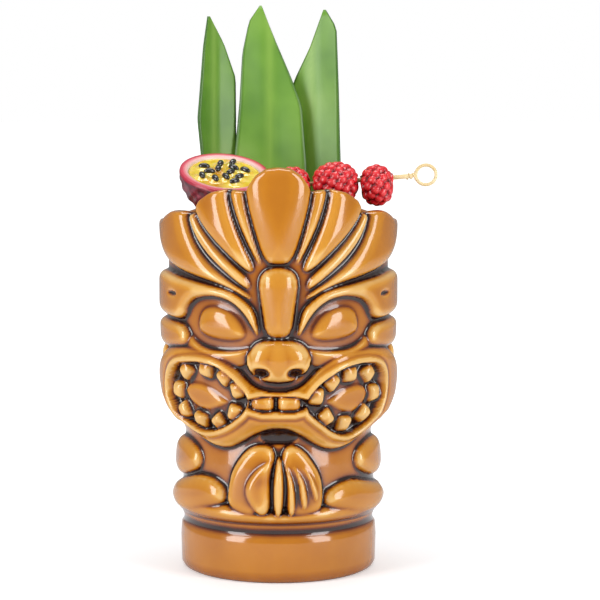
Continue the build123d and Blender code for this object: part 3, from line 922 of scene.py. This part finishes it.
class TIKI_OT_pick(bpy.types.Operator):
    """Adds the bamboo pick with its tied loop"""

    bl_idname = "tiki.pick"
    bl_label = "Pick"

    def execute(self, context):
        settings = context.scene.tiki_garnish
        radius = settings.pick_diameter / MM / 2
        inside, point, reach = 33.0, 6.0, 53.5
        loop = settings.knot_length / MM
        profile = [(0, -inside), (radius * 0.3, -inside + 0.3), (radius * 0.96, -inside + point)]
        profile += [(radius * (0.97 + 0.03 * math.cos(step * 1.7)), -inside + point + step * 4)
                    for step in range(1, 20)]
        profile += [(radius, reach), (0, reach + 0.6)]
        bm = spun(profile, 20)
        bmesh.ops.transform(bm, matrix=along_pick(0), verts=bm.verts)
        strand = 0.95
        centre = reach + loop / 2
        ring = loop / 2 - strand
        # The strand runs round the loop and crosses itself where it is tied.
        half_turn = math.pi * 1.13
        turns = [(centre + ring * 0.98 * math.cos(angle), ring * 0.94 * math.sin(angle),
                  0.34 * math.sin(angle / 2))
                 for angle in np.linspace(half_turn, -half_turn, 15)]
        self.add_strand(bm, turns, strand * 0.72)
        coil, turn = 1.06, 1.15           # radius of the binding, and radians from point to point
        wraps = [(reach - 2.2 + 0.30 * step, coil * math.cos(step * turn),
                  coil * math.sin(step * turn)) for step in range(14)]
        self.add_strand(bm, wraps, 0.42)
        finish_piece(bm, "tied_pick", "pick", bamboo_material(), "cocktail_pick")
        return {"FINISHED"}

    def add_strand(self, bm, points, thickness):
        """Adds a smooth round strand through points along, over and behind the pick."""
        curve = bpy.data.curves.new("strand", "CURVE")
        curve.dimensions = "3D"
        curve.bevel_depth = thickness * MM
        curve.bevel_resolution = 3
        curve.use_fill_caps = True
        spline = curve.splines.new("NURBS")
        spline.points.add(len(points) - 1)
        for target, (along, over, behind) in zip(spline.points, points):
            place = along_pick(along) @ Vector((over * MM, behind * MM, 0))
            target.co = (*place, 1)
        spline.order_u = 4
        spline.use_endpoint_u = True
        spline.resolution_u = 6
        holder = bpy.data.objects.new("strand", curve)
        mesh = bpy.data.meshes.new_from_object(holder)
        bm.from_mesh(mesh)
        bpy.data.objects.remove(holder)
        bpy.data.curves.remove(curve)
        bpy.data.meshes.remove(mesh)


FACE_CENTRE = Vector((-21.18, -11.50, 160.6)) * MM
FACE_TILT, FACE_ROLL = math.radians(20), math.radians(5)
SEED_COUNT, SEED_SPREAD = 13, 14.6 - 4.6 * 0.9      # seeds, and mm from the middle to the last


def fruit_face():
    """The plane of the passion fruit's cut, Z out of it."""
    return (Matrix.Translation(FACE_CENTRE) @ Matrix.Rotation(FACE_TILT, 4, "X")
            @ Matrix.Rotation(FACE_ROLL, 4, "Y"))


class TIKI_OT_passion_fruit(bpy.types.Operator):
    """Adds the halved passion fruit: rind, pulp and seeds"""

    bl_idname = "tiki.passion_fruit"
    bl_label = "Passion Fruit"

    def execute(self, context):
        settings = context.scene.tiki_garnish
        radius = settings.passion_diameter / MM / 2
        thick = settings.rind_thickness / MM
        self.add_rind(radius, thick)
        self.add_pulp(radius - thick - 0.15)
        seed = wet_material("seed", [(0.3, (14, 12, 12)), (0.7, (46, 40, 38))], 300, 0.2)
        seeds = frame["nodes"]["passion_fruit_seeds"]
        seeds.data.materials.clear()
        seeds.data.materials.append(seed)
        return {"FINISHED"}

    def add_rind(self, radius, thick):
        """A half shell with a rounded cut edge, wrinkled skin and the pick's hole."""
        profile, through = [], []
        for angle in np.linspace(-90, -4, 30):
            turn = math.radians(angle)
            profile.append((radius * math.cos(turn), radius * math.sin(turn)))
            through.append(0)
        for part in np.linspace(0.08, 0.92, 7):
            profile.append((radius - thick * part, -0.35 * (2 * part - 1) ** 4))
            through.append(0.05 + part * 0.8)
        inner = radius - thick
        for angle in np.linspace(-4, -90, 24):
            turn = math.radians(angle)
            profile.append((inner * math.cos(turn), inner * math.sin(turn)))
            through.append(1)
        profile[0] = (0, -radius)
        profile[-1] = (0, -inner)
        bm = spun(profile, 96)
        places = positions(bm)
        table = np.array(profile)
        values = []
        for x, y, z in places:
            away = np.hypot(table[:, 0] - math.hypot(x, y), table[:, 1] - z)
            values.append(through[int(away.argmin())])
        out = np.hypot(places[:, 0], places[:, 1]) + 1e-6
        angle = np.arctan2(places[:, 1], places[:, 0])
        skin = np.array(values) < 0.02
        wrinkle = 0.22 * (np.sin(angle * 9 + places[:, 2] * 0.5)
                          + np.sin(angle * 17 - places[:, 2])) - 0.45
        factor = 1 + np.where(skin, wrinkle, 0) * rise(-places[:, 2], 0.5, 3) / radius
        places[:, :2] *= factor[:, None]
        places[:, 2] *= factor
        move_to(bm, places)
        write_attribute(bm, "through_rind", values)
        bmesh.ops.transform(bm, matrix=fruit_face(), verts=bm.verts)
        piece = finish_piece(bm, "fruit_rind", "passion_fruit", rind_material(),
                             "passion_fruit_rind")
        drill(piece)

    def add_pulp(self, radius):
        """Pulp with a swelling round each seed."""
        profile = [(0, -radius)] + [
            (radius * math.cos(math.radians(a)), radius * math.sin(math.radians(a)))
            for a in np.linspace(-84, -5, 18)]
        profile += [(distance, -0.9) for distance in np.linspace(radius - 0.3, 0, 26)]
        bm = spun(profile, 72)
        places = positions(bm)
        top = places[:, 2] > -1.0
        swell = np.zeros(len(places))
        for number in range(SEED_COUNT):
            distance = SEED_SPREAD * math.sqrt((number + 0.6) / SEED_COUNT)
            turn = number * GOLDEN_ANGLE
            away = np.hypot(places[:, 0] - distance * math.cos(turn),
                            places[:, 1] - distance * math.sin(turn))
            swell = np.maximum(swell, 1.1 * np.clip(1 - (away / 3.1) ** 2, 0, 1))
        rim = rise(radius - np.hypot(places[:, 0], places[:, 1]), 0.1, 1.4)
        places[:, 2] += np.where(top, swell * rim, 0)
        move_to(bm, places)
        bmesh.ops.transform(bm, matrix=fruit_face(), verts=bm.verts)
        material = wet_material(
            "pulp", [(0.3, (214, 150, 20)), (0.5, (240, 204, 60)), (0.72, (250, 232, 130))],
            150, 0.15, 0.2)
        piece = finish_piece(bm, "fruit_pulp", "passion_fruit", material,
                             "passion_fruit_pulp")
        drill(piece)


def drill(piece):
    """Opens the pick's hole through a piece and applies it."""
    bm = bmesh.new()
    bore = BORE * MM
    length, middle = 90 * MM, 11.6          # of the pick, which the hole follows
    bmesh.ops.create_cone(
        bm, cap_ends=True, segments=20, radius1=bore, radius2=bore, depth=length,
        matrix=along_pick(middle))
    mesh = bpy.data.meshes.new("bore")
    bm.to_mesh(mesh)
    bm.free()
    cutter = bpy.data.objects.new("bore", mesh)
    bpy.context.scene.collection.objects.link(cutter)
    hole = piece.modifiers.new("pick hole", "BOOLEAN")
    hole.object = cutter
    hole.operation = "DIFFERENCE"
    hole.solver = "EXACT"
    bpy.context.view_layer.update()
    graph = bpy.context.evaluated_depsgraph_get()
    cut = bpy.data.meshes.new_from_object(piece.evaluated_get(graph))
    piece.modifiers.clear()
    bm = bmesh.new()
    bm.from_mesh(cut)
    bmesh.ops.remove_doubles(bm, verts=bm.verts, dist=0.00002)
    bmesh.ops.dissolve_degenerate(bm, edges=bm.edges, dist=0.00001)
    bmesh.ops.triangulate(bm, faces=bm.faces)
    bm.to_mesh(cut)
    bm.free()
    piece.data = cut
    bpy.data.objects.remove(cutter)
    bpy.data.meshes.remove(mesh)


BERRY_DIAMETERS = {"inner": 15.6, "middle": 18.0, "outer": 17.2}      # mm
BORE = 1.05                       # radius of the pick's hole, in mm


class TIKI_OT_raspberries(bpy.types.Operator):
    """Adds the three raspberries threaded on the pick"""

    bl_idname = "tiki.raspberries"
    bl_label = "Raspberries"

    def execute(self, context):
        settings = context.scene.tiki_garnish
        material = raspberry_material()
        gap = 0.5                 # mm off the node's length
        for number, (name, diameter) in enumerate(BERRY_DIAMETERS.items()):
            low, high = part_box(f"raspberry_{name}")
            centre = ((low + high) / 2 - PICK_ORIGIN).dot(PICK_AXIS) / MM
            drop = (PICK_ORIGIN + PICK_AXIS * centre * MM - (low + high) / 2).z / MM
            length = (high.x - low.x) / MM - gap
            self.add_berry(name, number, centre, length, diameter, drop, settings, material)
        return {"FINISHED"}

    def add_berry(self, name, number, centre, length, diameter, drop, settings, material):
        """Drupelets in a golden spiral over a blunt body, with the pick's hole through it."""
        half, radius = length / 2, diameter / 2
        drupelet = settings.drupelet / MM
        profile = [(BORE + 0.3, -half * 0.9), (BORE, -half * 0.8), (BORE, 0), (BORE, half * 0.8),
                   (BORE + 0.3, half * 0.9)]
        for angle in np.linspace(80, -80, 64):
            turn = math.radians(angle)
            out = max(radius * math.cos(turn) ** 0.8, BORE + 0.4)
            profile.append((out, half * math.sin(turn)))
        bm = spun(profile, 96, closed=True)
        places = positions(bm)
        shell = np.hypot(places[:, 0], places[:, 1]) > BORE + 0.35
        count = int(math.tau * radius * length / (math.pi * drupelet ** 2))
        crown = np.zeros(len(places))
        unit = places / (radius, radius, half)
        unit /= np.linalg.norm(unit, axis=1)[:, None] + 1e-9
        for step in range(count):
            up = 1 - 2 * (step + 0.5) / count
            turn = step * GOLDEN_ANGLE + number
            out = math.sqrt(1 - up * up)
            spot = np.array([out * math.cos(turn), out * math.sin(turn), up])
            away = np.linalg.norm((unit - spot) * (radius, radius, half), axis=1) / drupelet
            crown = np.maximum(crown, np.sqrt(np.clip(1.06 - away ** 2, 0, 1)))
        swell = 1 - 1.35 * (1 - crown) / radius - 0.02
        places = np.where(shell[:, None], places * swell[:, None], places)
        # The body hangs lower than the pick, and its hole stays on the pick.
        weight = rise(np.hypot(places[:, 0], places[:, 1]), BORE + 0.3, BORE + 3.5)
        move_to(bm, places)
        write_attribute(bm, "crown", np.where(shell, crown, 0.2))
        matrix = along_pick(centre)
        down = matrix.to_3x3().inverted() @ Vector((0, 0, -drop * MM))
        for vert, part in zip(bm.verts, weight):
            vert.co = vert.co + down * float(part)
        bmesh.ops.transform(bm, matrix=matrix, verts=bm.verts)
        bmesh.ops.recalc_face_normals(bm, faces=bm.faces)
        finish_piece(bm, f"berry_{name}_drupelets", f"berry_{name}", material,
                     f"raspberry_{name}")


class TIKI_PT_panel(bpy.types.Panel):
    """Lists the steps that build the mug, its garnish and the stage"""

    bl_idname = "TIKI_PT_panel"
    bl_label = "Tiki Mug"
    bl_space_type = "VIEW_3D"
    bl_region_type = "UI"
    bl_category = "Tiki Mug"

    def draw(self, context):
        for operator in OPERATORS:
            self.layout.operator(operator.bl_idname)


OPERATORS = (
    TIKI_OT_stage, TIKI_OT_mug, TIKI_OT_leaves, TIKI_OT_pick, TIKI_OT_passion_fruit,
    TIKI_OT_raspberries,
)
SETTINGS = {
    "tiki_mug": TikiMugSettings, "tiki_leaf": LeafSettings, "tiki_garnish": GarnishSettings,
    "tiki_stage": StageSettings,
}


def register():
    """Adds the settings, the operators and the panel."""
    for kind in (*SETTINGS.values(), *OPERATORS, TIKI_PT_panel):
        bpy.utils.register_class(kind)
    for name, kind in SETTINGS.items():
        setattr(bpy.types.Scene, name, PointerProperty(type=kind))


def unregister():
    """Takes them away again."""
    for name in SETTINGS:
        delattr(bpy.types.Scene, name)
    for kind in reversed((*SETTINGS.values(), *OPERATORS, TIKI_PT_panel)):
        bpy.utils.unregister_class(kind)


def main():
    """Builds everything."""
    register()
    bpy.ops.tiki.stage()
    bpy.ops.tiki.mug()
    bpy.ops.tiki.leaves()
    bpy.ops.tiki.pick()
    bpy.ops.tiki.passion_fruit()
    bpy.ops.tiki.raspberries()


if __name__ == "__main__":
    main()
